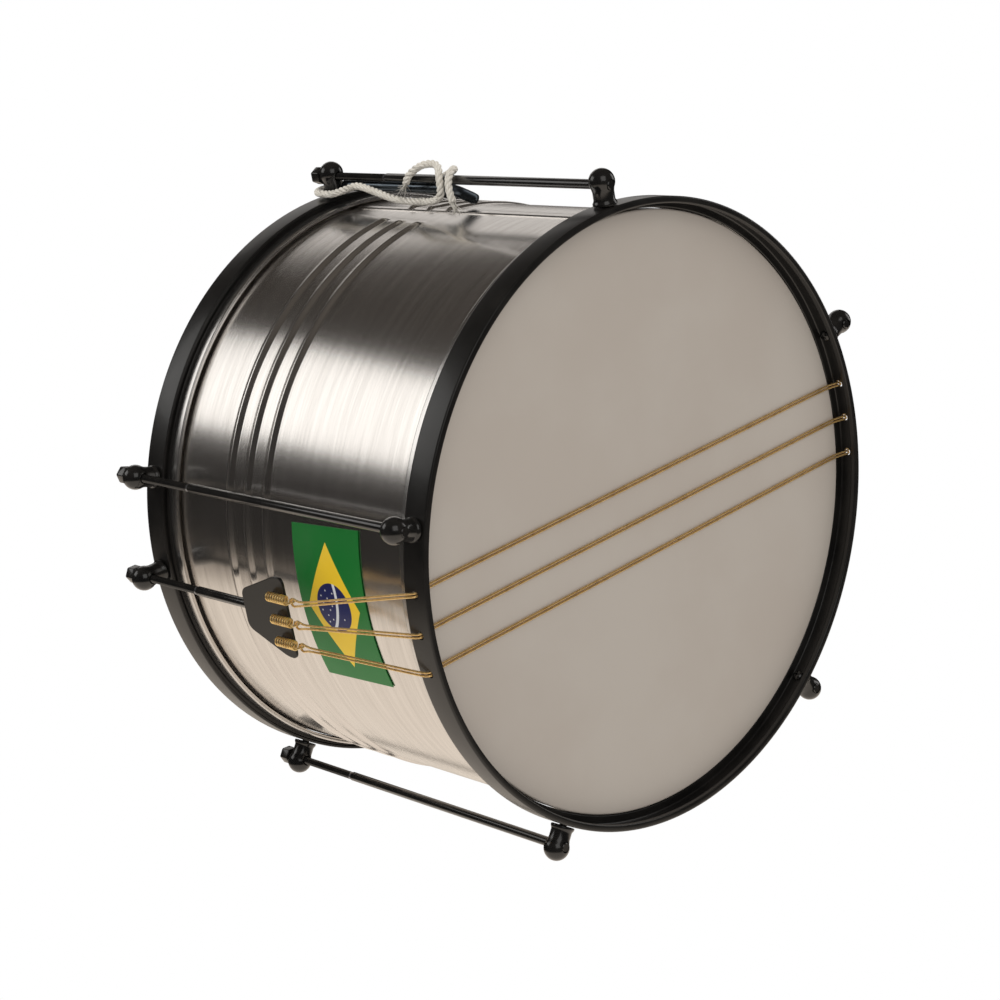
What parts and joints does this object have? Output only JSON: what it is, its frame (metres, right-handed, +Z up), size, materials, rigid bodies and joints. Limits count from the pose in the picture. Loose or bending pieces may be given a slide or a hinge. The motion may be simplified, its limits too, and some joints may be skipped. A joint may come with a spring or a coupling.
{
  "type": "caixa drum",
  "caption": "Shallow metal snare drum with rod-tensioned heads, sprung wires over the batter head, a key tied on with cord and a flag sticker, lying on its side.",
  "frame": {"origin": "middle of the drum's outline on the floor it lies on", "axes": "+Z up, +Y along the drum's axis from the batter head to the resonant head, +X to the right seen from the batter head"},
  "size_m": [0.343, 0.225, 0.3382],
  "materials": {
    "black_paint": "semi-gloss",
    "bare_aluminium": "brushed round",
    "brass_wire": "drawn",
    "head_film": "satin",
    "key_steel": "dark polished",
    "cotton_cord": "twisted",
    "flag_print": "printed"
  },
  "bodies": {
    "drum": {"batter_film": "head_film", "batter_flesh_hoop": "bare_aluminium", "flag_sticker": "flag_print", "rear_post_1": "black_paint", "rear_post_1_screw": "black_paint", "rear_post_2": "black_paint", "rear_post_2_screw": "black_paint", "rear_post_3": "black_paint", "rear_post_3_screw": "black_paint", "rear_post_4": "black_paint", "rear_post_4_screw": "black_paint", "rear_post_5": "black_paint", "rear_post_5_screw": "black_paint", "resonant_film": "head_film", "resonant_flesh_hoop": "bare_aluminium", "resonant_hoop": "black_paint", "shell": "bare_aluminium", "snare_post": "black_paint", "snare_post_screw": "black_paint", "snare_spring_1": "brass_wire", "snare_spring_2": "brass_wire", "snare_spring_3": "brass_wire", "tie_cord": "cotton_cord", "tuning_key": "key_steel"},
    "batter_frame": {"batter_hoop": "black_paint", "front_post_1": "black_paint", "front_post_1_screw": "black_paint", "front_post_2": "black_paint", "front_post_2_screw": "black_paint", "front_post_3": "black_paint", "front_post_3_screw": "black_paint", "front_post_4": "black_paint", "front_post_4_screw": "black_paint", "front_post_5": "black_paint", "front_post_5_screw": "black_paint", "tension_rod_1": "black_paint", "tension_rod_2": "black_paint", "tension_rod_3": "black_paint", "tension_rod_4": "black_paint", "tension_rod_5": "black_paint", "snare_string_1": "brass_wire", "snare_string_2": "brass_wire", "snare_string_3": "brass_wire", "string_ferrule_1": "brass_wire", "string_ferrule_2": "brass_wire", "string_ferrule_3": "brass_wire"},
    "tension_nut_1": {"tension_nut_1": "black_paint"},
    "tension_nut_2": {"tension_nut_2": "black_paint"},
    "tension_nut_3": {"tension_nut_3": "black_paint"},
    "tension_nut_4": {"tension_nut_4": "black_paint"},
    "tension_nut_5": {"tension_nut_5": "black_paint"},
    "snare_nut": {"snare_nut": "black_paint"},
    "snare_tensioner": {"snare_rod": "black_paint", "snare_plate": "black_paint"}
  },
  "joints": [
    {"name": "batter_hoop_slide", "type": "slide", "parent": "drum", "child": "batter_frame", "axis": [0, -1, 0], "range_m": [0, 0.002], "deforming": ["snare_spring_1", "snare_spring_2", "snare_spring_3"]},
    {"name": "tension_nut_1_turn", "type": "hinge", "parent": "drum", "child": "tension_nut_1", "pos_m": [-0.01886, 0.10505, 0.32789], "axis": [0, 1, 0], "range_deg": [-1, 901]},
    {"name": "tension_nut_2_turn", "type": "hinge", "parent": "drum", "child": "tension_nut_2", "pos_m": [0.15942, 0.10505, 0.23705], "axis": [0, 1, 0], "range_deg": [-1, 901]},
    {"name": "tension_nut_3_turn", "type": "hinge", "parent": "drum", "child": "tension_nut_3", "pos_m": [0.12812, 0.10505, 0.03943], "axis": [0, 1, 0], "range_deg": [-1, 901]},
    {"name": "tension_nut_4_turn", "type": "hinge", "parent": "drum", "child": "tension_nut_4", "pos_m": [-0.0695, 0.10505, 0.00813], "axis": [0, 1, 0], "range_deg": [-1, 901]},
    {"name": "tension_nut_5_turn", "type": "hinge", "parent": "drum", "child": "tension_nut_5", "pos_m": [-0.16034, 0.10505, 0.18641], "axis": [0, 1, 0], "range_deg": [-1, 901]},
    {"name": "snare_slide", "type": "slide", "parent": "drum", "child": "snare_tensioner", "axis": [0, -1, 0], "range_m": [-0.0008, 0.003], "deforming": ["snare_spring_1", "snare_spring_2", "snare_spring_3"]},
    {"name": "snare_nut_turn", "type": "hinge", "parent": "drum", "child": "snare_nut", "pos_m": [-0.16034, 0.10505, 0.13316], "axis": [0, 1, 0], "range_deg": [-361, 1351]}
  ],
  "couplings": [
    {"joint": "tension_nut_1_turn", "follows": "batter_hoop_slide", "rad_per_m": 7854},
    {"joint": "tension_nut_2_turn", "follows": "batter_hoop_slide", "rad_per_m": 7854},
    {"joint": "tension_nut_3_turn", "follows": "batter_hoop_slide", "rad_per_m": 7854},
    {"joint": "tension_nut_4_turn", "follows": "batter_hoop_slide", "rad_per_m": 7854},
    {"joint": "tension_nut_5_turn", "follows": "batter_hoop_slide", "rad_per_m": 7854},
    {"joint": "snare_nut_turn", "follows": "snare_slide", "rad_per_m": 7854}
  ]
}
